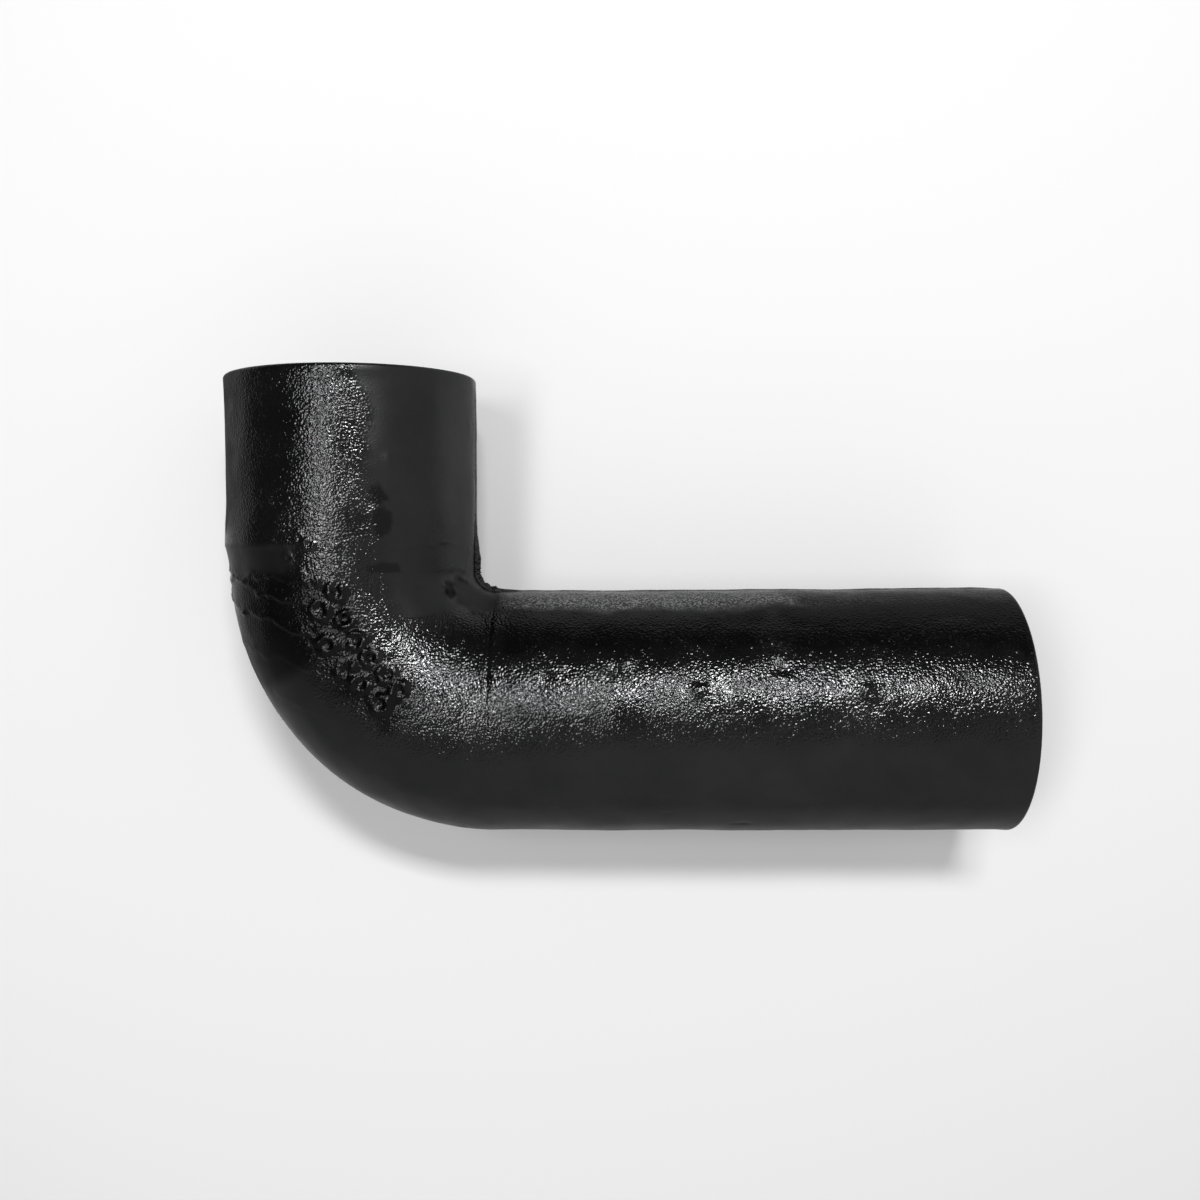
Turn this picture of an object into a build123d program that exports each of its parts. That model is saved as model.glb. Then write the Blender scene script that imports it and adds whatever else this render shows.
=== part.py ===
from build123d import *
import os

# A plain-end cast-iron closet bend, 4 in by 4 in, cast in one piece and lying flat on its side.
# It carries waste from a closet flange, round a quarter turn, to a branch drain.
# The origin is the centre of the short leg's open end. The short leg faces +Y and the long leg +X.
# All sizes are in millimetres.

# The round waterway, the same all the way through
bore_radius = 50.0

# Outside of the long leg and of the bend (4.38 in), and of the thicker short leg (4.5 in)
barrel_radius = 55.6
inlet_radius = 57.15

# Centreline: open end of each leg to the other leg's axis, and the radius of the quarter turn
short_leg = 154.4
long_leg = 300.5
bend_radius = 66.7

# The shoulder where the short leg's mould half ends: a low swell, then a slope down to the barrel
swell_start = 54.0
swell_top = 72.5
swell_end = 76.5
slope_end = 87.0
swell_height = 0.9

# The fins left along the mould's parting plane: a low one round the heel, a high one in the throat
heel_fin_height = 0.6
throat_fin_height = 2.2
fin_root = 2.6
fin_tip = 1.0
fin_sunk = 0.8

# The fine line round the long leg where the core and mould sections met
joint_line_width = 0.9
joint_line_depth = 0.4
joint_line_from_bend = 0.4

# Rounded outer edges of both open ends
rim_round = 1.6

bend_start = short_leg - bend_radius
fin_start = (swell_end + slope_end) / 2
joint_line = bend_radius + joint_line_from_bend

with BuildPart() as closet_bend:
    # Short leg with its shoulder: half its section, turned about the leg's own axis
    with BuildSketch(Plane.XY) as inlet_section:
        with BuildLine():
            Polyline(
                (inlet_radius, -swell_start),
                (inlet_radius, 0),
                (bore_radius, 0),
                (bore_radius, -bend_start),
                (barrel_radius, -bend_start),
                (barrel_radius, -slope_end),
                (inlet_radius + swell_height, -swell_end),
                (inlet_radius + swell_height, -swell_top),
            )
            Spline(
                (inlet_radius + swell_height, -swell_top),
                (inlet_radius, -swell_start),
                tangents=[(0, 1), (0, 1)],
            )
        make_face()
        inlet_rim = inlet_section.vertices().group_by(Axis.Y)[-1].sort_by(Axis.X)[-1]
        fillet(inlet_rim, radius=rim_round)
    revolve(axis=Axis.Y)

    # Bend and long leg: the barrel's ring section, swept round the quarter turn and on to the open end
    with BuildLine() as centreline:
        turn = RadiusArc((0, -bend_start), (bend_radius, -short_leg), -bend_radius)
        Line(turn @ 1, (long_leg, -short_leg))
    with BuildSketch(Plane.XZ.offset(bend_start)):
        Circle(barrel_radius)
        Circle(bore_radius, mode=Mode.SUBTRACT)
    sweep(path=centreline.line)

    # Fine line round the long leg, just past the bend
    with BuildSketch(Plane((joint_line, -short_leg, 0))):
        with BuildLine():
            Polyline(
                (0, barrel_radius + 1),
                (0, barrel_radius),
                (joint_line_width / 2, barrel_radius - joint_line_depth),
                (joint_line_width, barrel_radius),
                (joint_line_width, barrel_radius + 1),
                close=True,
            )
        make_face()
    revolve(axis=Axis((0, -short_leg, 0), (1, 0, 0)), mode=Mode.SUBTRACT)

    # Rounded outer edge of the long leg's open end
    outlet_rim = closet_bend.edges().group_by(Axis.X)[-1].sort_by(SortBy.RADIUS)[-1]
    fillet(outlet_rim, radius=rim_round)

    # Parting fins round the heel and in the throat, from the shoulder's slope to the end of the bend
    with BuildLine() as parting_line:
        fin_lead = Line((0, -fin_start), (0, -bend_start))
        RadiusArc(fin_lead @ 1, (bend_radius, -short_leg), -bend_radius)
    with BuildSketch(Plane.XZ.offset(fin_start)):
        with BuildLine():
            Polyline(
                (fin_sunk - barrel_radius, -fin_root / 2),
                (-barrel_radius - heel_fin_height, -fin_tip / 2),
                (-barrel_radius - heel_fin_height, fin_tip / 2),
                (fin_sunk - barrel_radius, fin_root / 2),
                close=True,
            )
        make_face()
        with BuildLine():
            Polyline(
                (barrel_radius - fin_sunk, -fin_root / 2),
                (barrel_radius + throat_fin_height, -fin_tip / 2),
                (barrel_radius + throat_fin_height, fin_tip / 2),
                (barrel_radius - fin_sunk, fin_root / 2),
                close=True,
            )
        make_face()
    sweep(path=parting_line.line)

closet_bend.part.label = "closet_bend"
os.makedirs("parts", exist_ok=True)
export_step(closet_bend.part, "parts/closet_bend.step")
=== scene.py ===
import math

import bpy
import numpy as np
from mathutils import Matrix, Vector


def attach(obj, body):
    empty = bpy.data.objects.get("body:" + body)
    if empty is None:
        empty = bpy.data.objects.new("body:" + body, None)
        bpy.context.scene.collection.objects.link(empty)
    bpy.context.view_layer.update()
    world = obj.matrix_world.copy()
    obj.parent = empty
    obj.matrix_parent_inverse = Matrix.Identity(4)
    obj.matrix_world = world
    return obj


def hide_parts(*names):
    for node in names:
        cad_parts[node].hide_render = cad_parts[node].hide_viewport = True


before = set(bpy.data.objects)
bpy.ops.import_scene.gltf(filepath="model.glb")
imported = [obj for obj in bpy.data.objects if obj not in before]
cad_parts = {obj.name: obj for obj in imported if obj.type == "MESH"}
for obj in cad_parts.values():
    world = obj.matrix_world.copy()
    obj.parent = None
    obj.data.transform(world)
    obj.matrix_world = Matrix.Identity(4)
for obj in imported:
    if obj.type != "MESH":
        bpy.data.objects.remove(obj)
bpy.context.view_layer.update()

# ---------------------------------------------------------------- sizes, in millimetres
# The same named sizes as the solid's
BORE, BARREL, INLET = 50.0, 55.6, 57.15
SHORT_LEG, LONG_LEG, BEND = 154.4, 300.5, 66.7
SWELL_START, SWELL_TOP, SWELL_END, SLOPE_END, SWELL = 54.0, 72.5, 76.5, 87.0, 0.9
HEEL_FIN, THROAT_FIN = 0.6, 2.2
LINE_WIDTH, LINE_DEPTH, LINE_FROM_BEND = 0.9, 0.4, 0.4
RIM, BORE_RIM = 1.6, 0.7

LEG = SHORT_LEG - BEND                    # straight length of the short leg
ARC = BEND * math.pi / 2                  # the quarter turn's centreline
END = LEG + ARC + LONG_LEG - BEND         # the whole centreline
LINE = LEG + ARC + LINE_FROM_BEND         # where the fine line round the long leg starts

rng = np.random.default_rng(41)


# ---------------------------------------------------------------- shape helpers
# s runs along the centreline from the short leg's open end. theta runs round the tube:
# 0 at the heel, the outside of the turn; 90 degrees on top; 180 in the throat, the inside.
def centreline(s):
    """Points on the centreline, and the direction from them to the heel."""
    a = np.clip((s - LEG) / BEND, 0, math.pi / 2)
    x = np.where(s < LEG, 0, BEND - BEND * np.cos(a)) + np.maximum(s - LEG - ARC, 0)
    y = np.where(s < LEG, -s, -LEG - BEND * np.sin(a))
    zero = np.zeros_like(a)
    return np.stack([x, y, zero], -1), np.stack([-np.cos(a), -np.sin(a), zero], -1)


def tube(s, theta, r):
    """Points of the tube's surface at radius r."""
    p, heel = centreline(s)
    return p + (r * np.cos(theta))[..., None] * heel + (r * np.sin(theta))[..., None] * np.array([0, 0, 1.0])


def waves(points, count, shortest, longest, rms):
    """Seeded smooth unevenness: a sum of plane waves of those wavelengths through space."""
    out = np.zeros(points.shape[:-1])
    for _ in range(count):
        d = rng.normal(size=3)
        d *= 2 * math.pi / rng.uniform(shortest, longest) / np.linalg.norm(d)
        out += np.sin(points @ d + rng.uniform(0, 2 * math.pi))
    return out * rms / math.sqrt(count / 2)


def ease(x, a, b):
    """0 before a, 1 after b, smooth between."""
    t = np.clip((x - a) / (b - a), 0, 1)
    return t * t * (3 - 2 * t)


def degrees(theta):
    return np.degrees(theta)


# ---------------------------------------------------------------- rings along the tube
def steps(a, b, size):
    n = max(1, round((b - a) / size))
    return list(np.linspace(a, b, n + 1)[1:])


def barrel_radius(s, theta):
    """Outside radius of the plain casting, without its rims, fins and line.
    The shoulder is plain to see on the outside of the turn; on top and in the throat it fades to a long taper."""
    r = np.full_like(s, BARREL)
    r = np.where(s < SLOPE_END, INLET + SWELL + (BARREL - INLET - SWELL) * (s - SWELL_END) / (SLOPE_END - SWELL_END), r)
    r = np.where(s < SWELL_END, INLET + SWELL, r)
    r = np.where(s < SWELL_TOP, INLET + SWELL * ease(s, SWELL_START, SWELL_TOP), r)
    taper = INLET + (BARREL - INLET) * ease(s, 44, 134)
    plain = ease(np.cos(theta), 0.18, 0.62)
    return taper + (r - taper) * plain


turn = [0, 22.5, 45, 67.5, 90]
outer = [(RIM * (1 - math.cos(math.radians(t))), -RIM * (1 - math.sin(math.radians(t)))) for t in turn]
along = (steps(RIM, SWELL_START, 1.95) + steps(SWELL_START, SWELL_TOP, 1.4) + steps(SWELL_TOP, SWELL_END, 0.8)
         + steps(SWELL_END, SLOPE_END, 0.9) + [LEG] + steps(LEG, 125, 0.62) + steps(125, 160, 0.9) + steps(160, LEG + ARC, 1.2)
         + [LINE, LINE + LINE_WIDTH / 2, LINE + LINE_WIDTH] + steps(LINE + LINE_WIDTH, END - RIM, 1.92))
outer += [(s, 0) for s in along]
outer += [(END - a, b) for a, b in reversed(outer[:4])]
outer_s = np.array([a for a, b in outer])
outer_cut = np.array([b for a, b in outer])

# Columns round the tube, closest together at the two fins and over the top; the bore takes every third one
def half_round(n, gap):
    return np.radians([0.51, 1.33, 2.3, *np.linspace(2.3 + gap, 177.7 - gap, n), 177.7, 178.67, 179.49])


fine = np.concatenate([-half_round(96, 1.6)[::-1], half_round(180, 1.0)])
coarse = fine[1::3]

S, TH = np.meshgrid(outer_s, fine, indexing="ij")
base = barrel_radius(S, TH)
P0 = tube(S, TH, base)                     # the plain surface, where features are placed
DEG = degrees(TH)
inside_rim = ease(S, 0.5, 7) * ease(END - S, 0.5, 7)


def spot(s, deg):
    """A place on the plain surface."""
    s, theta = np.array([float(s)]), np.radians([float(deg)])
    return tube(s, theta, barrel_radius(s, theta))[0]


def dome(s, deg, width, height, power=2.0):
    """A small round lump, or with a negative height a pit."""
    d = np.linalg.norm(P0 - spot(s, deg), axis=-1) / (width / 2)
    return height * np.exp(-d ** power)


def crater(s, deg, width, height, hollow):
    """A low lump with a hollow middle, as a burst blister leaves."""
    d = np.linalg.norm(P0 - spot(s, deg), axis=-1) / (width / 2)
    return height * np.exp(-((d - 0.75) / 0.33) ** 2) * (1 + 3.2 * fray) - hollow * np.exp(-(d / 0.5) ** 2)


def ridge(points, width, height):
    """A worm-like raised seam through places on the surface."""
    way = []
    for (s0, t0), (s1, t1) in zip(points[:-1], points[1:]):
        n = 12
        way += [spot(s0 + (s1 - s0) * k / n, t0 + (t1 - t0) * k / n) for k in range(n)]
    way.append(spot(*points[-1]))
    way = np.array(way)
    low, high = way.min(0) - 3 * width, way.max(0) + 3 * width
    near = np.all((P0 > low) & (P0 < high), axis=-1)
    out = np.zeros(P0.shape[:-1])
    d = np.linalg.norm(P0[near][:, None] - way[None], axis=-1).min(1)
    out[near] = height * np.exp(-(d / (width / 2)) ** 2)
    return out


def step(line, height, lead, start, end):
    """A cold lap: the skin rises slowly to a wavy lip and drops sharply past it."""
    at = np.interp(DEG, [t for t, s in line], [s for t, s in line])
    at = at + 0.8 * np.sin(TH * 9 + start) + 0.5 * np.sin(TH * 23 + 2 * start) + 1.5 * fray
    stretch = np.where(S > LEG, (BEND + base * np.cos(TH)) / BEND, 1.0)
    d = (S - at) * stretch
    lip = np.where(d < 0, np.exp(np.minimum(d, 0) / lead), np.exp(-np.maximum(d, 0) / 0.45)) * (1 + 1.5 * fray)
    return height * lip * ease(DEG, start, start + 18) * (1 - ease(DEG, end - 14, end))


# ---------------------------------------------------------------- where the coat is thick, thin or sooty
def band(x, a, b, soft):
    """1 from a to b, fading to 0 over soft on both sides."""
    return ease(x, a - soft, a + soft) * (1 - ease(x, b - soft, b + soft))


def patch(s, deg, width, height, sharp=3.0):
    """An irregular blotch: 1 inside, 0 outside, with a frayed edge. width runs along the tube."""
    at = spot(s, deg)
    along_way, round_way = spot(s + 1, deg) - at, spot(s, deg + 1) - at
    along_way, round_way = along_way / np.linalg.norm(along_way), round_way / np.linalg.norm(round_way)
    away = P0 - at
    d = np.sqrt((away @ along_way / (width / 2)) ** 2 + (away @ round_way / (height / 2)) ** 2
                + (away @ np.cross(along_way, round_way) / 12) ** 2)
    return 1 - ease(d + fray, 1 - 0.5 / sharp, 1 + 0.5 / sharp)


drift = waves(P0, 12, 18, 46, 1.6) + waves(P0, 24, 5, 12, 0.9)
fray = waves(P0, 26, 3.5, 9, 0.13)

# The coat lies smooth and thick where skin is 0 and follows the pebbled sand skin where it is 1
throat_edge = np.interp(S, [0, 32, 49, 61.5, 74, 86.5, 107.5, 122, 135.5, 159.5, 172], [107, 107, 110.5, 114.5, 117.5, 121, 118, 121, 135, 148.5, 160])
throat_smooth = ease(DEG + drift, throat_edge - 4, throat_edge + 4) * (1 - ease(DEG, 168, 177)) * (1 - ease(S, 165, 178)) * (DEG > 0)
heel_edge = np.interp(S, [88, 120, 133, 160, 191, 207, 241, 325, 408], [72, 77, 77, 78.5, 80, 83, 87, 89, 90])
heel_smooth = (1 - ease(DEG + drift, heel_edge - 15, heel_edge - 1)) * ease(DEG, -20, 0) * ease(S + drift, 100, 112)
strip_smooth = (1 - ease(DEG + drift, 72, 78)) * ease(DEG, -60, -30) * band(S, 75.5, 88, 1.2)
crotch_smooth = band(S, 150, 196, 3) * band(DEG + drift, 150, 172, 4)
skin = 1 - np.clip(throat_smooth + heel_smooth + strip_smooth + crotch_smooth, 0, 1)

# Painted shade: darker, less glossy blotches where shade and dark reflections fall, on the rough patch, the laps and
# the throat side of the short leg, in the crotch, round the lumps and creases, and along the long leg's far side
painted_shade = 0.85 * band(S + 2 * fray, 92, 158, 5) * band(DEG + drift, 79, 100, 3)
painted_shade += 0.8 * band(S, 89, 120, 2.5) * band(DEG + drift, 8, 80, 6)
painted_shade += 0.8 * patch(55, 113, 9, 8) + 0.7 * patch(66, 115, 13, 8) + 0.55 * patch(68, 104, 12, 12, 2) + 0.6 * patch(86, 116, 5, 14)
painted_shade += 0.9 * patch(118, 147, 9, 6) + 0.6 * patch(176, 158, 40, 22, 2) + 0.5 * patch(206, 97, 16, 8, 2)
# painted shade round the lumps
for s, t, w, h in [(241, 117, 12, 7), (253, 119, 9, 6), (300, 108, 9, 8), (318, 119, 10, 7), (352, 103, 14, 6), (395, 112, 12, 5), (20, 103, 14, 7), (33, 98, 9, 6)]:
    painted_shade += 0.4 * patch(s, t, 0.7 * w, 0.8 * h, 1.6)
# painted shade along the far side of the long leg
painted_shade += band(DEG + drift, 142, 178, 3) * ease(S + 5 * drift, 290, 350) + 0.75 * band(DEG + drift, 126, 151, 3) * ease(S, 196, 202)
painted_shade = np.clip(painted_shade, 0, 1)

# The outer side of the short leg is less glossy, and painted shade darkens its sheen there
dull_and_painted_shade = (1 - ease(DEG + drift, 26, 56)) * ease(DEG, -110, -80) * (1 - ease(S + drift, 68, 77))
dull_and_painted_shade += 0.6 * (1 - ease(DEG + drift, 10, 34)) * ease(DEG, -60, -30) * ease(S, 86, 92) * (1 - ease(S + drift, 100, 122))
# painted shade: half of the outer side's mask darkens the coat
painted_shade = np.clip(painted_shade + 0.5 * dull_and_painted_shade, 0, 1)

# Painted reflection: a brighter, speckled strip along the far side of the long leg, off the top
painted_reflection = band(DEG + 0.6 * drift, 154, 174, 5) * ease(S, 193, 200) * (1 - ease(S + 5 * drift, 270, 420))

# ---------------------------------------------------------------- the skin's relief
bump = np.zeros_like(S)

# slow unevenness of a sand casting, then shorter and shorter
bump += waves(P0, 14, 34, 85, 0.16) * inside_rim
bump += waves(P0, 22, 11, 24, 0.045) * inside_rim
rough = waves(P0, 40, 4.2, 8, 0.015)
bump += rough * (0.35 + 0.65 * inside_rim) * (0.25 + 0.75 * skin)

# parting line along both legs, low and broken, swelling into the two fins of the bend
tip = np.abs(np.sin(TH)) * base           # distance from the parting plane
flat = 1 - ease(tip, 0.5, 1.25)
heel_side = np.cos(TH) > 0
along_s = outer_s[:, None]
ragged = waves(np.stack([along_s * 1.0, along_s * 0 + 3.1, along_s * 0], -1), 14, 3.5, 17, 0.10)
heel_height = np.interp(along_s, [3, 10, 66, 80, 186, 196, END - 10, END - 3], [0, .20, .24, HEEL_FIN, HEEL_FIN, .22, .20, 0])
throat_height = np.interp(along_s, [3, 10, 60, 70, 82, 86, 184, 193, 204, END - 10, END - 3],
                          [0, .20, .22, .7, 1.7, THROAT_FIN, THROAT_FIN, 1.2, .24, .22, 0])
bump += np.where(heel_side, heel_height * (1 + 1.6 * ragged), throat_height * (1 + 1.1 * ragged)) * flat
# the two mould halves don't quite meet: the lower one stands a hair proud beside the line
bump += 0.09 * (1 - ease(tip, 1.0, 9.0)) * (TH < 0) * inside_rim

# fine line round the long leg
groove = 1 - np.abs(S - LINE - LINE_WIDTH / 2) / (LINE_WIDTH / 2)
bump -= LINE_DEPTH * np.clip(groove, 0, 1) * np.interp(np.abs(DEG), [0, 60, 82, 92, 125, 140, 152, 180], [.25, .12, .2, .8, .8, .4, .12, .3])

# edge of the mould half below the short leg, and the cold laps that follow it round the outside
bump += step([(-180, 76.8), (180, 76.8)], 0.16, 3.0, -200, 300)
bump += step([(-90, 86), (0, 87), (40, 89), (72, 90)], 0.60, 2.2, -80, 88)
bump += step([(-70, 86), (15, 89.5), (40, 90.5), (58, 93), (77.5, 99.5), (86, 103.5)], 0.75, 2.6, -70, 90)
bump += step([(-50, 90), (0, 92), (33, 96.5), (65, 103.5), (78, 110.5), (84, 121)], 0.70, 2.8, -60, 88)
bump += step([(-40, 97), (0, 104), (42, 109), (60, 114), (74, 126)], 0.25, 3.2, -50, 78)
bump += step([(-30, 108), (0, 114), (40, 122), (54, 130), (68, 142)], 0.10, 4.0, -40, 74)

# rough patch on top of the bend: broken blisters in two loose rows, with knobs between them
bump -= 0.40 * band(S, 93, 156, 3) * ease(DEG, 74, 90) * (1 - ease(DEG, 98, 102.5))
for s, deg in [(96.5, 94.5), (109.5, 95.5), (120.5, 96), (130.5, 97), (141.5, 97.5), (150.5, 95.5),
               (103, 86), (116, 84), (128.5, 85), (136.5, 86.5), (148, 85.5)]:
    bump += crater(s, deg, rng.uniform(7.8, 9.4), rng.uniform(.95, 1.25), rng.uniform(.2, .45))
    for _ in range(3):
        bump += dome(s + rng.normal() * 2, deg + rng.normal() * 2, rng.uniform(1.6, 2.8), rng.choice([1, 1, -1]) * rng.uniform(.3, .6))
bump += crater(75.5, 84, 5.2, .8, .4) + crater(73, 79.5, 4.4, .6, .3) + crater(81.5, 74, 4.5, .5, .1)
for _ in range(120):
    s = rng.uniform(84, 158)
    bump += dome(s, 90 + rng.normal() * 6.5, rng.uniform(1.3, 2.8), rng.uniform(.15, .5))

# lumps, pits and creases of the long leg, and the knob and flash in the throat
for s, t, w, h in [(253.5, 121, 6, .55), (283.5, 107, 6.5, .75), (299.5, 102.5, 5, .5), (318, 123, 7, .6), (321, 112, 4, .4),
                   (354, 107, 6, .85), (356.5, 103.5, 3, .5), (365, 102.5, 4.5, .35), (225, 118, 4, .3), (235, 96, 3.5, .3),
                   (115.5, 144.5, 5.5, .9), (122, 149, 4, .5), (110, 151, 5, .45), (40, 118, 4, .3), (62, 112, 5, .35)]:
    bump += dome(s, t, 0.85 * w, 1.4 * h)
for s, t, w, h in [(318, 116, 5, .55), (300.5, 33.5, 2.6, .5), (304.5, 33.5, 3.2, .6), (357, 98, 4, .3), (395, 112, 6, .3),
                   (247, 116, 7, .35), (212, 93, 4, .25), (48, 101, 5, .25), (66, 107, 6, .3), (184, 22, 3.5, .4),
                   (341, 94, 6, .22), (330, 60, 3, .3), (270, 44, 2.4, .25)]:
    bump -= dome(s, t, 0.8 * w, 1.3 * h)
bump -= ridge([(199.5, 114), (203, 106), (206.5, 99)], 1.9, 0.32)
bump += ridge([(205, 96), (208, 92), (213, 88)], 1.7, 0.35)
bump -= ridge([(216, 122), (218.5, 114), (217.5, 110)], 2.2, 0.3)
bump += ridge([(80, 168), (92, 160), (103, 157), (118, 163)], 2.6, 0.5)

# a few strays all over, so that the sides away from the photo's are cast metal too
for _ in range(150):
    s, t = rng.uniform(8, END - 8), rng.uniform(-180, 180)
    if 20 < t < 165:
        continue
    bump += dome(s, t, rng.uniform(2.2, 5.5), rng.choice([1, 1, -1]) * rng.uniform(.12, .42))

outer_r = base + outer_cut[:, None] + bump
outer_points = tube(S, TH, outer_r)

# ---------------------------------------------------------------- the waterway
bore_rounding = [(0.0, BORE_RIM), (BORE_RIM * .3, BORE_RIM * .3), (BORE_RIM, 0.0)]
bore = bore_rounding + [(s, 0.0) for s in np.linspace(BORE_RIM, END - BORE_RIM, 68)[1:]]
bore += [(END - a, b) for a, b in reversed(bore_rounding[:2])]
bore_s = np.array([a for a, b in bore])
bore_add = np.array([b for a, b in bore])
SB, TB = np.meshgrid(bore_s, coarse, indexing="ij")
PB = tube(SB, TB, np.full_like(SB, BORE))
cored = waves(PB, 16, 30, 80, 0.14) + waves(PB, 24, 13, 26, 0.07)
bore_points = tube(SB, TB, BORE + bore_add[:, None] + np.where(SB < 3, 0.3, 1) * np.where(SB > END - 3, 0.3, 1) * cored)

# ---------------------------------------------------------------- one closed mesh
nf, nc, no, nb = len(fine), len(coarse), len(outer_s), len(bore_s)
points = np.concatenate([outer_points.reshape(-1, 3), bore_points.reshape(-1, 3)]) * 0.001
faces = []
for i in range(no - 1):
    a, b = i * nf, (i + 1) * nf
    faces += [(a + j, b + j, b + (j + 1) % nf, a + (j + 1) % nf) for j in range(nf)]
start = no * nf
for i in range(nb - 1):
    a, b = start + i * nc, start + (i + 1) * nc
    faces += [(a + j, a + (j + 1) % nc, b + (j + 1) % nc, b + j) for j in range(nc)]
last_o, last_b = (no - 1) * nf, start + (nb - 1) * nc
for j in range(nc):
    f = 3 * j + 1
    c, c1 = start + j, start + (j + 1) % nc
    fan = [(f - 1) % nf, f % nf, (f + 1) % nf, (f + 2) % nf]
    faces += [(c, fan[k], fan[k + 1]) for k in range(3)] + [(c, fan[3], c1)]
    c, c1 = last_b + j, last_b + (j + 1) % nc
    faces += [(c, last_o + fan[k + 1], last_o + fan[k]) for k in range(3)] + [(c, c1, last_o + fan[3])]

mesh = bpy.data.meshes.new("casting")
mesh.from_pydata([tuple(p) for p in points], [], faces)
mesh.update()
casting = bpy.data.objects.new("casting", mesh)
bpy.context.scene.collection.objects.link(casting)
mesh.polygons.foreach_set("use_smooth", np.ones(len(mesh.polygons), bool))

# The coat's maps ride on the mesh for the material, painted shade and a painted reflection among them
for name, values, in_bore in (("skin", skin, 0.9), ("painted_shade", painted_shade, 0.0), ("painted_reflection", painted_reflection, 0.5), ("dull_and_painted_shade", dull_and_painted_shade, 0.0)):
    layer = mesh.attributes.new(name, "FLOAT", "POINT")
    layer.data.foreach_set("value", np.concatenate([values.ravel(), np.full(nb * nc, in_bore)]).astype(np.float32))

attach(casting, "root")
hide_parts("closet_bend")


# ---------------------------------------------------------------- material
def node(tree, kind, place=(0, 0), **inputs):
    n = tree.nodes.new(kind)
    n.location = place
    for key, value in inputs.items():
        n.inputs[key.replace("_", " ")].default_value = value
    return n


coat = bpy.data.materials.new("coated_iron")
coat.use_nodes = True
tree = coat.node_tree
link = tree.links.new
shader = tree.nodes["Principled BSDF"]
shader.inputs["Metallic"].default_value = 1.0
shader.inputs["Specular Tint"].default_value = (0.56, 0.56, 0.56, 1)

where = node(tree, "ShaderNodeTexCoord")
skin_layer = tree.nodes.new("ShaderNodeAttribute")
skin_layer.attribute_name = "skin"

pebbles = node(tree, "ShaderNodeTexNoise", Scale=1150.0, Detail=0.0, Roughness=0.5, Distortion=0.3)
grains = node(tree, "ShaderNodeTexVoronoi", Scale=760.0)
grit = node(tree, "ShaderNodeTexNoise", Scale=2600.0, Detail=1.0)
specks = node(tree, "ShaderNodeTexVoronoi", Scale=300.0)
clumps = node(tree, "ShaderNodeTexNoise", Scale=62.0, Detail=3.0)
stain = node(tree, "ShaderNodeTexNoise", Scale=26.0, Detail=5.0, Roughness=0.6)
for n in (pebbles, grains, grit, specks, clumps, stain):
    link(where.outputs["Object"], n.inputs["Vector"])


def math_node(op, a, b):
    n = tree.nodes.new("ShaderNodeMath")
    n.operation = op
    for i, v in enumerate((a, b)):
        if isinstance(v, (int, float)):
            n.inputs[i].default_value = v
        else:
            link(v, n.inputs[i])
    return n.outputs[0]


def ramp(source, low, high, out_low, out_high):
    n = tree.nodes.new("ShaderNodeMapRange")
    link(source, n.inputs["Value"])
    for key, v in (("From Min", low), ("From Max", high), ("To Min", out_low), ("To Max", out_high)):
        n.inputs[key].default_value = v
    return n.outputs["Result"]


# relief too fine for the mesh: pebbled sand skin under the coat, calmer where the coat is thick
relief = math_node("MULTIPLY", pebbles.outputs["Fac"], 1.0)
relief = math_node("ADD", relief, math_node("MULTIPLY", grains.outputs["Distance"], 0.35))
relief = math_node("ADD", relief, math_node("MULTIPLY", grit.outputs["Fac"], 0.04))
relief = math_node("ADD", relief, ramp(specks.outputs["Distance"], 0.06, 0.27, 0.62, 0.0))
strong = math_node("MULTIPLY", ramp(skin_layer.outputs["Fac"], 0, 1, 0.12, 1.0), ramp(clumps.outputs["Fac"], .3, .7, .75, 1.15))
relief = math_node("MULTIPLY", relief, strong)
# painted shade, read from the mesh
painted_shade_layer = tree.nodes.new("ShaderNodeAttribute")
painted_shade_layer.attribute_name = "painted_shade"
# painted reflection, read from the mesh
painted_reflection_layer = tree.nodes.new("ShaderNodeAttribute")
painted_reflection_layer.attribute_name = "painted_reflection"
dull_and_painted_shade_layer = tree.nodes.new("ShaderNodeAttribute")
dull_and_painted_shade_layer.attribute_name = "dull_and_painted_shade"
bump_node = tree.nodes.new("ShaderNodeBump")
bump_node.inputs["Strength"].default_value = 1.0
bump_node.inputs["Distance"].default_value = 0.00023
link(relief, bump_node.inputs["Height"])
link(bump_node.outputs["Normal"], shader.inputs["Normal"])

# near-black bitumen, a little browner and dustier in blotches
tint = tree.nodes.new("ShaderNodeValToRGB")
tint.color_ramp.elements[0].position, tint.color_ramp.elements[0].color = 0.36, (0.0385, 0.0389, 0.0398, 1)
tint.color_ramp.elements[1].position, tint.color_ramp.elements[1].color = 0.70, (0.0505, 0.0505, 0.0502, 1)
link(stain.outputs["Fac"], tint.inputs["Fac"])
# painted shade takes most of the sheen, and the painted reflection adds to it
# painted glints: the painted reflection is strongest on the pebbles' tips
painted_glints = math_node("MULTIPLY", painted_reflection_layer.outputs["Fac"], ramp(pebbles.outputs["Fac"], 0.48, 0.62, 0.0, 4.2))
shade = math_node("MULTIPLY", ramp(painted_shade_layer.outputs["Fac"], 0, 1, 1.0, 0.34), math_node("ADD", painted_glints, 1.0))
shaded = tree.nodes.new("ShaderNodeVectorMath")
shaded.operation = "SCALE"
link(tint.outputs["Color"], shaded.inputs[0])
link(shade, shaded.inputs["Scale"])
link(shaded.outputs[0], shader.inputs["Base Color"])

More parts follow.
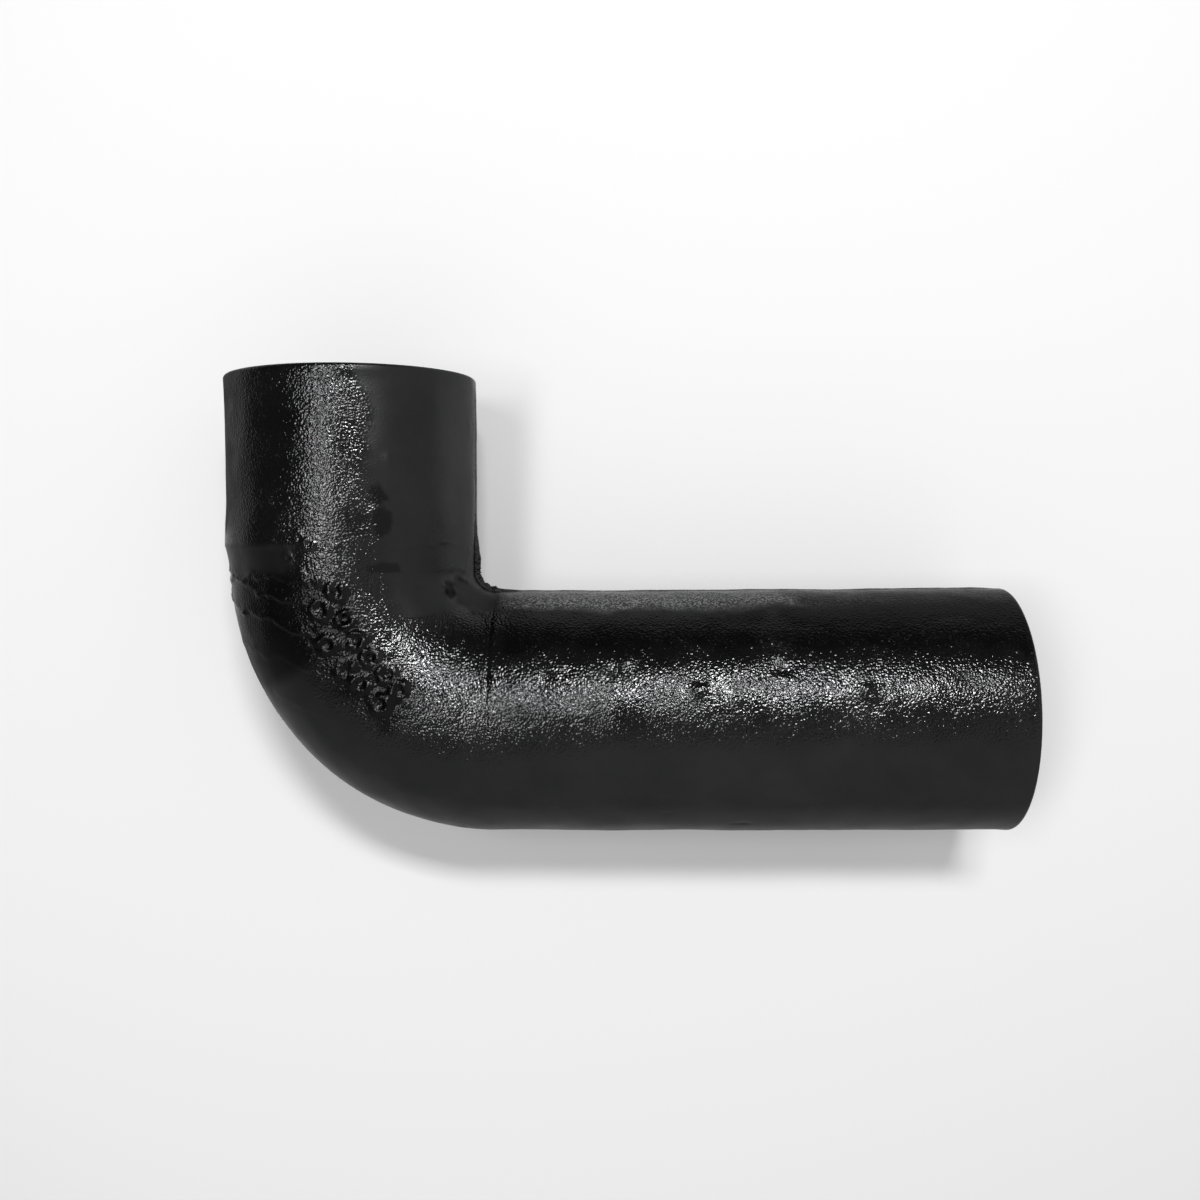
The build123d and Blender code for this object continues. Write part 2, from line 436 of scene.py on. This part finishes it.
# gloss: wet-looking on the pebbles, satin where the coat lies thick
satin = ramp(skin_layer.outputs["Fac"], 0, 1, 0.34, 0.15)
mottle = ramp(clumps.outputs["Fac"], .3, .7, -0.03, 0.05)
satin = math_node("ADD", satin, math_node("MULTIPLY", painted_shade_layer.outputs["Fac"], 0.08))
satin = math_node("ADD", satin, math_node("MULTIPLY", dull_and_painted_shade_layer.outputs["Fac"], 0.36))
link(math_node("ADD", satin, mottle), shader.inputs["Roughness"])
mesh.materials.append(coat)

# ---------------------------------------------------------------- floor, light and camera
# The bend lies on three points: the short leg's swell and the long leg's underside
drop = INLET + SWELL - BARREL
tilt = math.atan2(drop, SHORT_LEG - (SWELL_TOP + SWELL_END) / 2)
bpy.ops.mesh.primitive_circle_add(vertices=96, radius=4.0, fill_type="NGON")
floor = bpy.context.object
floor.name = "floor"
low = Vector((0, -SHORT_LEG, -BARREL - 0.35)) * 0.001
floor.rotation_euler = (-tilt, 0, 0)
floor.location = low
paper = bpy.data.materials.new("paper")
paper.use_nodes = True
paper_shader = paper.node_tree.nodes["Principled BSDF"]
# a white sheet with a painted falloff of light: it is painted a soft grey well outside the picture
paper_tree = paper.node_tree
spot_at = paper_tree.nodes.new("ShaderNodeTexCoord")
reach = paper_tree.nodes.new("ShaderNodeVectorMath")
reach.operation = "DISTANCE"
reach.inputs[1].default_value = (0.13, 0.08, 0.0)
fade = paper_tree.nodes.new("ShaderNodeMapRange")
fade.interpolation_type = "SMOOTHSTEP"
for key, v in (("From Min", 0.40), ("From Max", 1.0), ("To Min", 0.92), ("To Max", 0.58)):
    fade.inputs[key].default_value = v
paper_tree.links.new(spot_at.outputs["Object"], reach.inputs[0])
paper_tree.links.new(reach.outputs["Value"], fade.inputs["Value"])
paper_tree.links.new(fade.outputs["Result"], paper_shader.inputs["Base Color"])
paper_shader.inputs["Roughness"].default_value = 0.9
paper_shader.inputs["Specular IOR Level"].default_value = 0.1
floor.data.materials.append(paper)

world = bpy.data.worlds.new("studio")
bpy.context.scene.world = world
world.use_nodes = True
# dim overhead and on the far side, with pale walls on the near side and the right
sky = world.node_tree
direction = sky.nodes.new("ShaderNodeTexCoord")
toward = sky.nodes.new("ShaderNodeVectorMath")
toward.operation = "DOT_PRODUCT"
toward.inputs[1].default_value = Vector((0.64, -0.77, -0.50)).normalized()
level = sky.nodes.new("ShaderNodeMapRange")
level.interpolation_type = "SMOOTHSTEP"
for key, v in (("From Min", -0.60), ("From Max", 0.06), ("To Min", 0.12), ("To Max", 0.52)):
    level.inputs[key].default_value = v
sky.links.new(direction.outputs["Generated"], toward.inputs[0])
sky.links.new(toward.outputs["Value"], level.inputs["Value"])
sky.links.new(level.outputs["Result"], sky.nodes["Background"].inputs["Color"])


def softbox(name, place, target, size, power):
    data = bpy.data.lights.new(name, "AREA")
    data.shape = "RECTANGLE"
    data.size, data.size_y = size
    data.energy = power
    lamp = bpy.data.objects.new(name, data)
    bpy.context.scene.collection.objects.link(lamp)
    lamp.location = place
    lamp.rotation_euler = (Vector(target) - Vector(place)).to_track_quat("-Z", "Y").to_euler()
    return lamp


middle = (0.11, -0.11, 0.0)
softbox("key", (0.335, 0.665, 1.5), middle, (0.45, 0.18), 16.6)
softbox("side", (-0.39, 0.06, 1.5), middle, (0.70, 0.27), 7.4)

camera_data = bpy.data.cameras.new("camera")
camera_data.lens = 34.5
camera_data.sensor_width = 36.0
camera_data.clip_start, camera_data.clip_end = 0.01, 50
camera = bpy.data.objects.new("camera", camera_data)
bpy.context.scene.collection.objects.link(camera)
camera.location = (0.13121, -0.07051, 0.53549)
camera.rotation_euler = (math.radians(-3.4992), math.radians(1.7713), math.radians(-0.4168))
bpy.context.scene.camera = camera

bpy.context.scene.view_settings.view_transform = "Standard"

bpy.context.view_layer.update()
